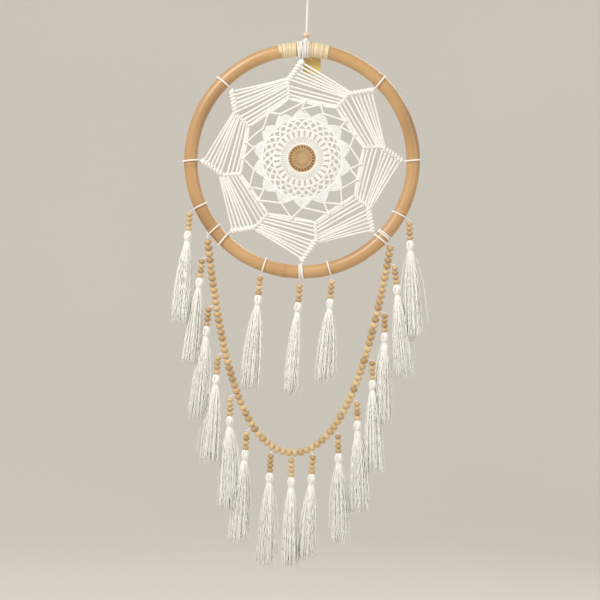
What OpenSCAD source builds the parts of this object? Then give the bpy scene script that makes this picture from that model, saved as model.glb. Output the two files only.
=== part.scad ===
// Dream catcher: a rattan hoop with a knotted cord web and a crochet doily,
// hung from one cord, with a beaded garland and eighteen cotton tassels.
// +Z is up, -Y is the front, and the origin is where the loop sits on its nail.

/* [Hoop] */
// Outside diameter of the rattan hoop
hoop_d = 400; // [340:5:440]
// Thickness of the rattan pole
pole_d = 23; // [19:0.5:27]

/* [Hanging] */
// Height of the nail above the top of the hoop
hang_rise = 110; // [95:5:200]
// Thickness of the hanging cord
hang_cord_d = 3.6; // [3:0.2:4]

/* [Web] */
// Thickness of the web's cotton cord
web_cord_d = 2.4; // [1.8:0.1:2.6]
// Turn of the web's eight anchors about the hoop's centre
web_turn = 2; // [-4:0.5:4]

/* [Doily] */
// Diameter of the doily over its petal tips
doily_d = 170; // [140:2:176]
// Thickness of the crochet
doily_t = 3; // [2:0.5:4]

/* [Garland] */
// Diameter of a garland bead
bead_d = 13.6; // [11.4:0.2:16]
// Height of a garland bead along its bore
bead_h = 9.6; // [8:0.1:9.8]
// Distance from one bead to the next along the cord
bead_pitch = 10.3; // [10:0.1:12.4]
// Angle of the garland's two ties below the hoop's middle
tie_angle = 40; // [34:1:46]

/* [Tassels] */
// Diameter of a tassel bead
tassel_bead_d = 11.3; // [9.4:0.1:13.4]
// Height of a tassel bead along its bore
tassel_bead_h = 7.6; // [6.2:0.1:7.8]
// Length of the longest skirt
skirt_l = 150; // [120:5:155]
// Diameter of a skirt at its ragged end
skirt_d = 20; // [16:0.5:20]

/* [Hidden] */
$fn = 48;

hoop_r = (hoop_d - pole_d) / 2;      // centreline of the pole
pole_r = pole_d / 2;
hoop_in = hoop_r - pole_r;
hoop_down = hang_rise + hoop_d / 2;  // from the nail to the hoop's centre
slack = 0.05;                        // between a wrapped cord and the pole
gap = 0.4;                           // between pieces that move past each other

// Hanging: a loop over the nail, its knot, the straight cord and one bead.
hang_r = hang_cord_d / 2;
loop_r = 8 + hang_r;
loop_mid = loop_r - hang_r;          // from the nail down to the loop's centre
knot_r = 5;
knot_down = 29;
loop_foot = [2, 0, -21.5];            // where each leg of the loop enters the knot
cord_end_up = 8;                      // from the hoop up to where the wraps take the cord
hanging_route = [[0, 0, -34.4], [0, 0, -50], [0, 0, -75], [0, 0, cord_end_up - hang_rise]];
hang_bead_r = 6.5;
hang_bead_h = 8.5;
hang_bead_up = 13;                   // centre of the bead above the hoop
neck_r = 3.2;                        // the tie that leads the cord down to the wraps
neck_l = 4.4;
neck_up = 3.1;

// Joint of the pole: a long slanted cut under two bindings and the cord wraps.
joint_slant = 20;
joint_cut = 0.4;
brad_r = 0.8;
brad_l = 18;
brad_x = 12;
peel_t = 0.8;
binding_left_from = 2.9;             // degrees from the top anchor
binding_left_to = 11.5;
binding_right_from = 3.6;
binding_right_to = 13.9;
wrap_places = [-3, -2, -1, 1, 2];    // turns beside the top anchor's own
wrap_gap = 0.3;
anchor_cord_r = 1.5;                  // loops and wraps are of a thicker cord

// Paper tag on its thread, behind the top of the hoop.
thread_r = 0.35;
thread_x = 9;
thread_loop_r = pole_r + 4.5;
thread_sag = thread_loop_r - pole_r - peel_t - slack - thread_r - 0.1;
tag_size = [30, 0.6, 28];
tag_left = 13;                       // from the hole to the tag's left edge
tag_above = 3;                       // from the hole up to its top edge
tag_corner = 3;
tag_hole_r = 1.6;

// Web: eight wrapped spines lean anticlockwise from their anchors.
anchors = 8;
top_anchor = 2;
cord_r = web_cord_d / 2;
anchor_knot_r = 4.4;
anchor_r = hoop_in - 7.6;
thick_r = 5;
thin_r = 3;
thick_end = [0.775 * hoop_in, 10];   // radius and lean of a spine's thick part
thin_end = [0.605 * hoop_in, 12];
spine_knot_r = 3.6;
outer_strands = 6;
outer_from = 0.06;                    // share of the thick part where its first strand leaves
outer_span = 0.86;
inner_strands = 3;
inner_from = [0.26, 0.25];            // share of the thin part, and its step from strand to strand
inner_to = [0.46, 0.2];
bunch = 3.4;                         // spacing of the strands where they gather
ring_pair = 1.4;                     // half the distance between the doubled ring cords
ring_knot_r = 3.1;
ring_knot_l = 4.8;
ring_knots = [2, 2, 1, 2, 2, 1, 2, 2];
ring_gap = 0.2;                       // from a ring cord's end to the spine's knot
lace_r = 0.7;
lace_gap = 0.12;                      // the laces run in front of the doily and the ring
lace_apart = 0.9;                     // half the distance between a petal's two laces
lace_inset = 2;                       // from a petal's tip in to where its laces start

// Doily: rounds of crochet from a jute disc out to fourteen petals.
doily_r = doily_d / 2;
doily_up = 4;
jute_r = 0.275 * doily_r;
rounds_r = 0.59 * doily_r;
net_r = 0.75 * doily_r;
petals = 14;
petal_turn = 41;
petal_r = 0.188 * doily_r;
bars = 2 * petals;
slot_from = 0.445 * doily_r;          // slots between the rounds' long stitches
slot_size = [0.115 * doily_r, 0.052 * doily_r];
net_rows = [0.633 * doily_r, 0.707 * doily_r];
net_hole_r = 0.034 * doily_r;
edging_r = 0.84 * doily_r;            // where the petals part

// Garland: beads on a cord that hangs in a catenary.
bead_count = 80;
bead_bore_r = 1.5;
garland_cord_r = 1.2;
garland_lead = 12;                   // from the tie to the first bead's centre
tie_cord_r = 1.2;
tie_r = hoop_d / 2 + slack + 2 * tie_cord_r + gap + garland_cord_r;
tie_x = tie_r * cos(tie_angle);
tie_z = -tie_r * sin(tie_angle) - hoop_down;
garland_half = (bead_count - 1) / 2 * bead_pitch + garland_lead;
garland_a = catenary_a(garland_half, tie_x, tie_x / 20, tie_x);
garland_rings = 2 * round(garland_half / 11.6);  // even steps of about 11.6 along the cord

// Tassels: four beads, a head, a bound neck and a skirt.
// Each row is its name, its place, its lean in degrees and its skirt's share
// of the longest one. A place on the hoop is an angle.
hoop_tassels = [
    ["tassel_left", 206, -3.4, 0.92],
    ["tassel_bottom_left", 252, -3.1, 0.94],
    ["tassel_bottom_middle", 271, -2.9, 0.93],
    ["tassel_bottom_right", 286, -2.1, 0.83],
    ["tassel_right", 333, 4.7, 1]
];
// A place on the garland is the number of the bead before the tassel.
garland_tassels = [
    ["garland_tassel_01", 3, -4.6, 0.84],
    ["garland_tassel_02", 11, -4.5, 0.93],
    ["garland_tassel_03", 19, -2.8, 0.87],
    ["garland_tassel_04", 26, 1, 0.93],
    ["garland_tassel_05", 32, -2.8, 0.92],
    ["garland_tassel_06", 37, -0.8, 0.92],
    ["garland_tassel_07", 40, 1.2, 0.88],
    ["garland_tassel_08", 43, -1.3, 0.85],
    ["garland_tassel_09", 48, 3.2, 0.9],
    ["garland_tassel_10", 54, 3.2, 0.92],
    ["garland_tassel_11", 61, 3.1, 0.92],
    ["garland_tassel_12", 69, 1.5, 0.9],
    ["garland_tassel_13", 77, 7.6, 0.92]
];
tassel_beads_each = 4;
tassel_pitch = tassel_bead_h + gap;
tassel_bore_r = 1.2;
tassel_cord_r = 0.8;
tassel_knot_r = 1.3;                 // on top of the first bead
tassel_drop = 8;                     // from a hoop tie to its first bead's centre
tassel_start = 5;                    // from the garland's middle out to the tassel's cord
tassel_aside = 4;                     // from a hoop tie out to its first bead's centre
tassel_slope = 6;                     // how far the garland's slope lowers the first bead
tassel_touch = (bead_d + tassel_bead_d) / 2 + 0.45;
head_r = 6.75;
head_bulge = 7.5;                     // radius of the head's round side
head_sink = 1;                        // how far the pieces of a tassel reach into each other
neck_band_r = 5;
neck_band_l = 5;
skirt_top_r = 4.6;

all_tassels = concat(hoop_tassels, garland_tassels);

function polar(r, a) = [r * cos(a), r * sin(a), 0];
function mix(p, q, t) = p + (q - p) * t;
function unit(v) = v / norm(v);
function sinh(x) = (exp(x) - exp(-x)) / 2;
function cosh(x) = (exp(x) + exp(-x)) / 2;
function asinh(x) = ln(x + sqrt(x * x + 1));

// The catenary's size for half a cord that spans half the ties' distance.
function catenary_a(half, span, lo, hi, n = 30) =
    n == 0 ? (lo + hi) / 2
    : let (mid = (lo + hi) / 2)
      mid * sinh(span / mid) > half
        ? catenary_a(half, span, mid, hi, n - 1)
        : catenary_a(half, span, lo, mid, n - 1);

// A point of the garland, its direction and its outward side at a length from the lowest point.
garland_low = tie_z - garland_a * (cosh(tie_x / garland_a) - 1);
function garland_point(s) =
    [garland_a * asinh(s / garland_a), 0, garland_low + sqrt(pow(garland_a, 2) + s * s) - garland_a];
function garland_along(s) = unit([garland_a, 0, s]);
function garland_out(s) = unit([s, 0, -garland_a]);

function anchor_angle(k) = web_turn + k * 360 / anchors;
function anchor_point(k) = polar(anchor_r, anchor_angle(k));
function thick_point(k) = polar(thick_end[0], anchor_angle(k) + thick_end[1]);
function thin_point(k) = polar(thin_end[0], anchor_angle(k) + thin_end[1]);
function side_point(k, t) = mix(thin_point(k), thin_point(k + 1), t);
function petal_tip(i) = [0, doily_up, 0] + polar(doily_r, petal_turn + i * 360 / petals);
knot_points = [for (k = [0:anchors - 1], i = [1:ring_knots[k]]) side_point(k, i / (ring_knots[k] + 1))];
knot_sides = [for (k = [0:anchors - 1], i = [1:ring_knots[k]]) unit(thin_point(k + 1) - thin_point(k))];

// How far short a strand stops so that its end only meets a round spine.
function stop_short(strand, spine, r) =
    let (c = abs(unit(strand) * unit(spine)))
    (r + cord_r * c + 2 * slack) / sqrt(1 - c * c);

// Where a tassel's cord turns, and the middle of its first bead.
function hoop_tie(a) = [0, 0, -hoop_down] + tie_r * [cos(a), 0, sin(a)];
function place_length(bead) = (bead - bead_count / 2) * bead_pitch;
function tassel_pivot(t) = t[1] > bead_count ? hoop_tie(t[1]) : garland_point(place_length(t[1]));
function tassel_cord_start(t) =
    t[1] > bead_count ? tassel_pivot(t)
    : tassel_pivot(t) + tassel_start * garland_out(place_length(t[1]));
function tassel_first(t) =
    t[1] > bead_count
    ? tassel_pivot(t) + [tassel_aside * cos(t[1]), 0, -tassel_drop]
    : let (out = garland_out(place_length(t[1])))
      tassel_pivot(t) + tassel_touch * out + [0, 0, -tassel_slope * abs(out.x)];

module in_hoop() {
    translate([0, 0, -hoop_down]) rotate([90, 0, 0]) children();
}

module rod(p, q, r) {
    d = q - p;
    l = norm(d);
    translate(p) rotate([0, acos(d.z / l), atan2(d.y, d.x)]) cylinder(r = r, h = l);
}

// A cord that stops short of the two spines it runs between.
module strand(p, q, spine_p, spine_q, r_p, r_q) {
    d = q - p;
    rod(p + unit(d) * stop_short(d, spine_p, r_p), q - unit(d) * stop_short(d, spine_q, r_q), cord_r);
}

// One turn of cord around the pole, at an angle of the hoop.
module pole_turn(a, r) {
    rotate([0, 0, a]) translate([hoop_r, 0, 0]) rotate([90, 0, 0])
        rotate_extrude() translate([pole_r + slack + r, 0]) circle(r = r);
}

// A closed sleeve of peel around the pole, between two angles of the hoop.
module sleeve(from, to) {
    rotate([0, 0, from]) rotate_extrude(angle = to - from) translate([hoop_r, 0]) difference() {
        circle(r = pole_r + slack + peel_t);
        circle(r = pole_r + slack);
    }
}

// A turned bead: a bore, and one round arc from face to face.
module bead(d, h, bore) {
    rotate_extrude() difference() {
        translate([(d - h) / 2, 0]) circle(r = h / 2);
        translate([bore - h, -h]) square([h, 2 * h]);
        translate([-d, -h]) square([d, 2 * h]);
    }
}

// A round cord of eight sides along a list of points in the XZ plane.
module swept_cord(points, r, sides = 8) {
    n = len(points);
    function ahead(i) = unit(points[min(i + 1, n - 1)] - points[max(i - 1, 0)]);
    rings = [for (i = [0:n - 1], j = [0:sides - 1])
        let (t = ahead(i), side = [-t.z, 0, t.x], a = j * 360 / sides)
        points[i] + r * (cos(a) * side + sin(a) * [0, 1, 0])];
    walls = [for (i = [0:n - 2], j = [0:sides - 1])
        let (a = i * sides + j, b = i * sides + (j + 1) % sides)
        [a, b, b + sides, a + sides]];
    ends = [[for (j = [sides - 1:-1:0]) j], [for (j = [0:sides - 1]) (n - 1) * sides + j]];
    polyhedron(points = rings, faces = concat(walls, ends), convexity = 10);
}

module rattan_hoop() {
    color("peru") in_hoop() difference() {
        rotate_extrude() translate([hoop_r, 0]) circle(r = pole_r);
        translate([0, hoop_r, 0]) rotate([0, 0, joint_slant]) cube([4 * pole_d, joint_cut, 2 * pole_d], center = true);
        brads();
    }
}

module brads() {
    for (x = [-brad_x, brad_x])
        translate([x, hoop_r - brad_l / 2 - x * x / (2 * hoop_r), 0]) rotate([-90, 0, 0]) cylinder(r = brad_r, h = brad_l);
}

module joint_brads() {
    color("silver") in_hoop() brads();
}

module binding_left() {
    color("wheat") in_hoop()
        sleeve(anchor_angle(top_anchor) + binding_left_from, anchor_angle(top_anchor) + binding_left_to);
}

module binding_right() {
    color("wheat") in_hoop()
        sleeve(anchor_angle(top_anchor) - binding_right_to, anchor_angle(top_anchor) - binding_right_from);
}

module top_wraps() {
    step = (2 * anchor_cord_r + wrap_gap) / hoop_r * 180 / PI;
    color("ivory") {
        in_hoop() for (i = wrap_places) pole_turn(anchor_angle(top_anchor) + i * step, anchor_cord_r);
        translate([0, 0, neck_up - hang_rise]) cylinder(r = neck_r, h = neck_l);
    }
}

module hanging_bead() {
    color("burlywood") translate([0, 0, hang_bead_up - hang_rise])
        bead(2 * hang_bead_r, hang_bead_h, hang_r + gap);
}

module hanging_cord() {
    color("ivory") swept_cord(hanging_route, hang_r);
}

module hanging_knot() {
    color("ivory") translate([0, 0, -knot_down]) sphere(r = knot_r);
}

module hanging_loop() {
    color("ivory") {
        translate([0, 0, -loop_mid]) rotate([90, 0, 0])
            rotate_extrude(angle = 180) translate([loop_r, 0]) circle(r = hang_r);
        for (side = [-1, 1]) {
            rod([side * loop_r, 0, -loop_mid], [side * loop_foot.x, 0, loop_foot.z], hang_r);
            translate([side * loop_r, 0, -loop_mid]) sphere(r = hang_r);
        }
    }
}

module tag_thread() {
    color("firebrick") translate([thread_x, 0, hoop_r - thread_sag - hoop_down]) rotate([0, 90, 0])
        rotate_extrude() translate([thread_loop_r, 0]) circle(r = thread_r);
}

// The thread's loop crosses the tag's hole half way down its back.
module paper_tag() {
    back = thread_loop_r * cos(45);
    hole = [thread_x, back, hoop_r - thread_sag - back - hoop_down];
    color("goldenrod") translate(hole) rotate([90, 0, 0]) linear_extrude(height = tag_size.y, center = true)
        difference() {
            translate([-tag_left, tag_above - tag_size.z]) square([tag_size.x, tag_size.z]);
            circle(r = tag_hole_r);
            for (x = [-tag_left, tag_size.x - tag_left])
                translate([x, tag_above]) rotate(45) square(sqrt(2) * tag_corner, center = true);
        }
}

module anchor_loops() {
    color("ivory") in_hoop() for (k = [0:anchors - 1]) pole_turn(anchor_angle(k), anchor_cord_r);
}

module web_spines() {
    color("ivory") in_hoop() for (k = [0:anchors - 1]) {
        translate(anchor_point(k)) sphere(r = anchor_knot_r);
        rod(anchor_point(k), thick_point(k), thick_r);
        rod(thick_point(k), thin_point(k), thin_r);
        translate(thin_point(k)) sphere(r = spine_knot_r);
    }
}

// Strands fan out along one spine's thick part and gather where its neighbour turns thin.
module web_strands() {
    color("ivory") in_hoop() for (k = [0:anchors - 1]) {
        thick_here = thick_point(k) - anchor_point(k);
        thin_here = thin_point(k) - thick_point(k);
        thick_there = thick_point(k - 1) - anchor_point(k - 1);
        thin_there = thin_point(k - 1) - thick_point(k - 1);
        for (i = [0:outer_strands - 1]) {
            from = anchor_point(k) + thick_here * (outer_from + outer_span * i / (outer_strands - 1));
            slip = (i - (outer_strands - 1) / 2) * bunch;
            along = slip < 0 ? thick_there : thin_there;
            strand(from, thick_point(k - 1) + unit(along) * slip, thick_here, along, thick_r, thick_r);
        }
        for (i = [0:inner_strands - 1]) {
            from = thick_point(k) + thin_here * (inner_from[0] + inner_from[1] * i);
            to = thick_point(k - 1) + thin_there * (inner_to[0] + inner_to[1] * i);
            strand(from, to, thin_here, thin_there, thin_r, thin_r);
        }
    }
}

module ring_cords() {
    color("ivory") in_hoop() {
        for (k = [0:anchors - 1]) {
            along = unit(thin_point(k + 1) - thin_point(k));
            aside = [-along.y, along.x, 0];
            for (side = [-1, 1])
                rod(thin_point(k) + along * (spine_knot_r + ring_gap) + aside * side * ring_pair,
                    thin_point(k + 1) - along * (spine_knot_r + ring_gap) + aside * side * ring_pair, cord_r);
            for (i = [1:ring_knots[k]]) {
                knot = side_point(k, i / (ring_knots[k] + 1));
                rod(knot - along * ring_knot_l / 2, knot + along * ring_knot_l / 2, ring_knot_r);
            }
        }
    }
}

// Two laces run from each petal's tip and stop beside the sloping face of a ring knot.
module lacing() {
    front = max(doily_t / 2, cord_r) + lace_gap + lace_r;
    knot_half = sqrt(pow(ring_knot_r, 2) - pow(front - lace_r, 2)) + lace_gap;
    color("ivory") in_hoop() translate([0, 0, front]) for (i = [0:petals - 1], j = [0, 1]) {
        knot = (i + j) % petals;
        tip = petal_tip(i);
        out = unit(tip - [0, doily_up, 0]);
        aside = (2 * j - 1) * lace_apart * [-out.y, out.x, 0];
        from = tip - out * lace_inset + aside;
        d = unit(knot_points[knot] - from);
        c = abs(d * knot_sides[knot]);
        rod(from, knot_points[knot] - d * (knot_half + lace_r * c) / sqrt(1 - c * c), lace_r);
    }
}

module doily_slab() {
    in_hoop() translate([0, doily_up, -doily_t / 2]) linear_extrude(height = doily_t) children();
}

module doily_centre() {
    color("tan") doily_slab() circle(r = jute_r);
}

module doily_rounds() {
    color("cornsilk") doily_slab() difference() {
        circle(r = rounds_r);
        circle(r = jute_r);
        for (i = [0:bars - 1]) rotate(petal_turn + (i + 0.5) * 360 / bars)
            translate([slot_from, -slot_size.y / 2]) square(slot_size);
    }
}

module doily_net() {
    color("cornsilk") doily_slab() difference() {
        circle(r = net_r);
        circle(r = rounds_r);
        for (i = [0:bars - 1]) {
            rotate(petal_turn + i * 360 / bars) translate([net_rows[0], 0]) circle(r = net_hole_r);
            rotate(petal_turn + (i + 0.5) * 360 / bars) translate([net_rows[1], 0]) circle(r = net_hole_r);
        }
    }
}

module doily_edging() {
    color("white") doily_slab() difference() {
        union() {
            circle(r = edging_r);
            for (i = [0:petals - 1]) rotate(petal_turn + i * 360 / petals)
                translate([doily_r - petal_r, 0]) circle(r = petal_r);
        }
        circle(r = net_r);
    }
}

module garland_cord() {
    points = [for (i = [0:garland_rings]) garland_point(garland_half * (2 * i / garland_rings - 1))];
    color("ivory") swept_cord(points, garland_cord_r);
}

module garland_beads() {
    color("chocolate") for (i = [1:bead_count]) {
        s = (i - (bead_count + 1) / 2) * bead_pitch;
        t = garland_along(s);
        translate(garland_point(s)) rotate([0, atan2(t.x, t.z), 0]) bead(bead_d, bead_h, bead_bore_r);
    }
}

module garland_ties() {
    color("ivory") in_hoop() for (a = [180 + tie_angle, 360 - tie_angle]) pole_turn(a, tie_cord_r);
}

module tassel_ties() {
    color("ivory") in_hoop() for (t = hoop_tassels) pole_turn(t[1], tie_cord_r);
}

module along_tassel(t) {
    translate(tassel_first(t)) rotate([0, -t[2], 0]) children();
}

module tassel_beads(t) {
    color("sienna") along_tassel(t) for (i = [0:tassel_beads_each - 1])
        translate([0, 0, -i * tassel_pitch]) bead(tassel_bead_d, tassel_bead_h, tassel_bore_r);
}

module tassel_cotton(t) {
    head_top = (tassel_beads_each - 0.5) * tassel_pitch;
    head_mid = head_top + sqrt(pow(head_bulge, 2) - pow(head_bulge - head_r, 2));
    neck_top = 2 * head_mid - head_top - head_sink;
    lift = tassel_bead_h / 2 + tassel_knot_r - 0.2;  // the knot sits in the mouth of the bore
    top = tassel_first(t) + lift * [sin(-t[2]), 0, cos(t[2])];
    color("white") {
        rod(tassel_cord_start(t), top, tassel_cord_r);
        translate(top) sphere(r = tassel_knot_r);
        along_tassel(t) {
            translate([0, 0, -head_top - head_sink]) cylinder(r = tassel_cord_r, h = head_top + head_sink + lift);
            translate([0, 0, -head_mid]) rotate_extrude() difference() {
                translate([head_r - head_bulge, 0]) circle(r = head_bulge);
                translate([-2 * head_bulge, -head_bulge]) square([2 * head_bulge, 2 * head_bulge]);
            }
            translate([0, 0, -neck_top - neck_band_l]) cylinder(r = neck_band_r, h = neck_band_l);
            translate([0, 0, -neck_top - neck_band_l - t[3] * skirt_l])
                cylinder(r1 = skirt_d / 2, r2 = skirt_top_r, h = t[3] * skirt_l);
        }
    }
}

rattan_hoop();
joint_brads();
binding_left();
binding_right();
top_wraps();
hanging_bead();
hanging_cord();
hanging_knot();
hanging_loop();
paper_tag();
tag_thread();
anchor_loops();
web_spines();
web_strands();
ring_cords();
lacing();
doily_centre();
doily_rounds();
doily_net();
doily_edging();
garland_cord();
garland_beads();
garland_ties();
tassel_ties();
for (t = all_tassels) {
    tassel_beads(t);
    tassel_cotton(t);
}
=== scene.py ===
import math
import random

import bpy
import numpy as np
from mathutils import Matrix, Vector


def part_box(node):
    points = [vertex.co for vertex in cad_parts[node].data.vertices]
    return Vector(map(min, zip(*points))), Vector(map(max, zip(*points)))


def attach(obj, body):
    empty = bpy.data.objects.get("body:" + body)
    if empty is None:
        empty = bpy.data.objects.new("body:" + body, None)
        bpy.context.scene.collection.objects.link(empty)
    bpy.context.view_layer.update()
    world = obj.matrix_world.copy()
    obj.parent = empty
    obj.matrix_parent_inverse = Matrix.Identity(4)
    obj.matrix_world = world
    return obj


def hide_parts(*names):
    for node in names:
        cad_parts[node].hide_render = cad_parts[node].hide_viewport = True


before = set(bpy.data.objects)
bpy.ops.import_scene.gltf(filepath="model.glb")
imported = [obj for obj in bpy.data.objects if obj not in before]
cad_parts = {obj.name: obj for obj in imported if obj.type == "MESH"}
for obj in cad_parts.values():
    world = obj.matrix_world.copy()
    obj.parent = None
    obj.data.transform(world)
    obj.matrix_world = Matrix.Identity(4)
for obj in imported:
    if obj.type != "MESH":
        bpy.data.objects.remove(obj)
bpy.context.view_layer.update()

mm = 0.001
dice = random.Random(7)

# places shared with the CAD
hoop = {"outer": 200 * mm, "pole": 11.5 * mm, "drop": 310 * mm, "turn": 2}
hoopR = hoop["outer"] - hoop["pole"]
hoopIn = hoopR - hoop["pole"]
centre = np.array([0, 0, -hoop["drop"]])
sideways, back, upward = np.eye(3)


def polar(r, angle, y=0.0):  # a point of the hoop's plane, y towards the back
    a = math.radians(angle)
    return centre + np.array([r * math.cos(a), y, r * math.sin(a)])


def mix(p, q, t):
    return p + (q - p) * t


def unit(v):
    return v / np.linalg.norm(v)


def anchorAngle(k):
    return hoop["turn"] + 45 * k


def anchorPoint(k):
    return polar(hoopIn - 7.6 * mm, anchorAngle(k))


def thickPoint(k):
    return polar(0.775 * hoopIn, anchorAngle(k) + 10)


def thinPoint(k):
    return polar(0.605 * hoopIn, anchorAngle(k) + 12)


# the view is level, from the front, with a slight roll
view = {"distance": 3.2, "field": 1.017, "roll": -2.0, "x": 0.0048, "z": -0.546}


def makeCamera():
    camera = bpy.data.cameras.new("camera")
    camera.lens = 36 * view["distance"] / view["field"]
    thing = bpy.data.objects.new("camera", camera)
    bpy.context.scene.collection.objects.link(thing)
    thing.location = (view["x"], -view["distance"], view["z"])
    thing.rotation_euler = (math.radians(90), math.radians(view["roll"]), 0)
    bpy.context.scene.camera = thing
    bpy.context.scene.view_settings.view_transform = "Standard"


lamps = {  # place, size, power, tint
    "key": ((-1.3, -1.7, 1.3), 0.8, 52, (1, 0.98, 0.955)),
    "fill": ((1.9, -1.9, 0.2), 1.1, 13, (0.95, 0.97, 1)),
    "rim": ((0.9, 1.7, 0.9), 1.2, 15, (1, 0.98, 0.95)),
}
air = {"aim": (0, 0, -0.5), "colour": (0.63, 0.61, 0.57, 1), "strength": 0.55}


def makeLights():
    for name, (place, size, power, tint) in lamps.items():
        lamp = bpy.data.lights.new(name, "AREA")
        lamp.size = size
        lamp.energy = power
        lamp.color = tint
        thing = bpy.data.objects.new(name, lamp)
        bpy.context.scene.collection.objects.link(thing)
        thing.location = place
        aim = np.array(air["aim"]) - np.array(place)
        thing.rotation_euler = (
            math.pi - math.acos(aim[2] / np.linalg.norm(aim)), 0,
            math.atan2(aim[1], aim[0]) - math.pi / 2,
        )
    world = bpy.data.worlds.new("room")
    bpy.context.scene.world = world
    world.use_nodes = True
    sky = world.node_tree.nodes["Background"]
    sky.inputs["Color"].default_value = air["colour"]
    sky.inputs["Strength"].default_value = air["strength"]


class Tap:  # a shader socket that takes part in sums
    def __init__(self, paint, socket):
        self.paint = paint
        self.socket = socket

    def math(self, kind, a, b):
        return self.paint.node("ShaderNodeMath", {"operation": kind}, {0: a, 1: b})

    def __add__(self, other):
        return self.math("ADD", self, other)

    __radd__ = __add__

    def __sub__(self, other):
        return self.math("SUBTRACT", self, other)

    def __rsub__(self, other):
        return self.math("SUBTRACT", other, self)

    def __mul__(self, other):
        return self.math("MULTIPLY", self, other)

    __rmul__ = __mul__


class Paint:
    def __init__(self, name, rough=0.6, **fixed):
        self.material = bpy.data.materials.new(name)
        self.material.use_nodes = True
        self.tree = self.material.node_tree
        self.shader = self.tree.nodes["Principled BSDF"]
        self.shader.inputs["Roughness"].default_value = rough
        for socket, value in fixed.items():
            self.shader.inputs[socket.replace("_", " ")].default_value = value

    def node(self, kind, settings=None, inputs=None, out=0):
        node = self.tree.nodes.new(kind)
        for key, value in (settings or {}).items():
            if key == "stops":
                ramp = node.color_ramp
                while len(ramp.elements) < len(value):
                    ramp.elements.new(1)
                for element, (place, colour) in zip(ramp.elements, value):
                    element.position = place
                    element.color = (*colour, 1)
            else:
                setattr(node, key, value)
        for key, value in (inputs or {}).items():
            if isinstance(value, Tap):
                self.tree.links.new(value.socket, node.inputs[key])
            else:
                node.inputs[key].default_value = value
        return Tap(self, node.outputs[out])

    def feed(self, socket, tap):
        self.tree.links.new(tap.socket, self.shader.inputs[socket])

    def place(self):
        return self.node("ShaderNodeTexCoord", out="Object")

    def mark(self, name):  # a value that the mesh holds at each point
        return self.node("ShaderNodeAttribute", {"attribute_name": name}, out="Fac")

    def noise(self, where, scale, detail=3.0, rough=0.55):
        return self.node("ShaderNodeTexNoise", None,
                         {"Vector": where, "Scale": scale, "Detail": detail, "Roughness": rough})

    def blend(self, amount, a, b):
        return self.node("ShaderNodeMix", {"data_type": "RGBA", "clamp_factor": True},
                         {"Factor": amount, 6: a, 7: b}, out=2)

    def bump(self, height, strength, distance):
        self.feed("Normal", self.node("ShaderNodeBump", None,
                                      {"Height": height, "Strength": strength, "Distance": distance}))


def rgb(r, g, b):
    return (r, g, b, 1)


def rattanFinish():
    # varnished pole: long fibres along the bend, darker where it was burnt, pale scars at the knuckles
    p = Paint("rattan", 0.4, Coat_Weight=0.3, Coat_Roughness=0.32)
    fibre = p.node("ShaderNodeCombineXYZ", None,
                   {0: p.mark("along") * 5.0, 1: p.mark("around") * 30.0, 2: 0.0})
    streaks = p.noise(fibre, 3.0, 6.0, 0.7)
    fine = p.noise(fibre, 11.0, 4.0, 0.6)
    cloud = p.noise(p.place(), 14.0, 3.0)
    base = p.node("ShaderNodeValToRGB", {"stops": [
        (0.25, (0.37, 0.19, 0.07)), (0.5, (0.56, 0.335, 0.145)), (0.75, (0.74, 0.51, 0.275))]},
        {0: streaks * 0.75 + cloud * 0.25})
    dark = p.blend(p.mark("burn") * (cloud * 1.2), base, rgb(0.24, 0.115, 0.045))
    scar = p.blend(p.mark("knuckle"), dark, rgb(0.30, 0.17, 0.08))
    p.feed("Base Color", scar)
    p.feed("Roughness", 0.3 + streaks * 0.22 + p.mark("knuckle") * 0.25)
    p.bump(streaks * 0.5 + fine * 0.5, 0.28, 0.0004)
    return p.material


def peelFinish():
    p = Paint("peel", 0.42, Coat_Weight=0.15, Coat_Roughness=0.3)
    fibre = p.node("ShaderNodeCombineXYZ", None,
                   {0: p.mark("along") * 2.0, 1: p.mark("around") * 9.0, 2: p.mark("tone") * 7.0})
    streaks = p.noise(fibre, 4.0, 5.0, 0.6)
    base = p.node("ShaderNodeValToRGB", {"stops": [
        (0.3, (0.66, 0.50, 0.27)), (0.55, (0.80, 0.68, 0.45)), (0.8, (0.88, 0.79, 0.60))]},
        {0: streaks * 0.7 + p.mark("tone") * 0.3})
    p.feed("Base Color", base)
    p.feed("Roughness", 0.34 + streaks * 0.25)
    p.bump(streaks, 0.35, 0.0002)
    return p.material


def yarnFinish(name, pale, deep, fuzz=1.0, sheen=0.3):
    # spun fibre: short hairs over the plies, a little uneven from cord to cord
    p = Paint(name, 0.85, Sheen_Weight=sheen, Sheen_Roughness=0.5, Specular_IOR_Level=0.25)
    hairs = p.noise(p.place(), 900.0, 3.0, 0.65)
    cloud = p.noise(p.place(), 60.0, 2.0)
    shade = hairs * 0.45 + cloud * 0.3 + p.mark("tone") * 0.35
    base = p.node("ShaderNodeValToRGB", {"stops": [(0.3, deep), (0.62, pale)]}, {0: shade})
    p.feed("Base Color", base)
    p.feed("Roughness", 0.76 + hairs * 0.2)
    p.bump(hairs, 0.35 * fuzz, 0.0003)
    return p.material


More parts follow.
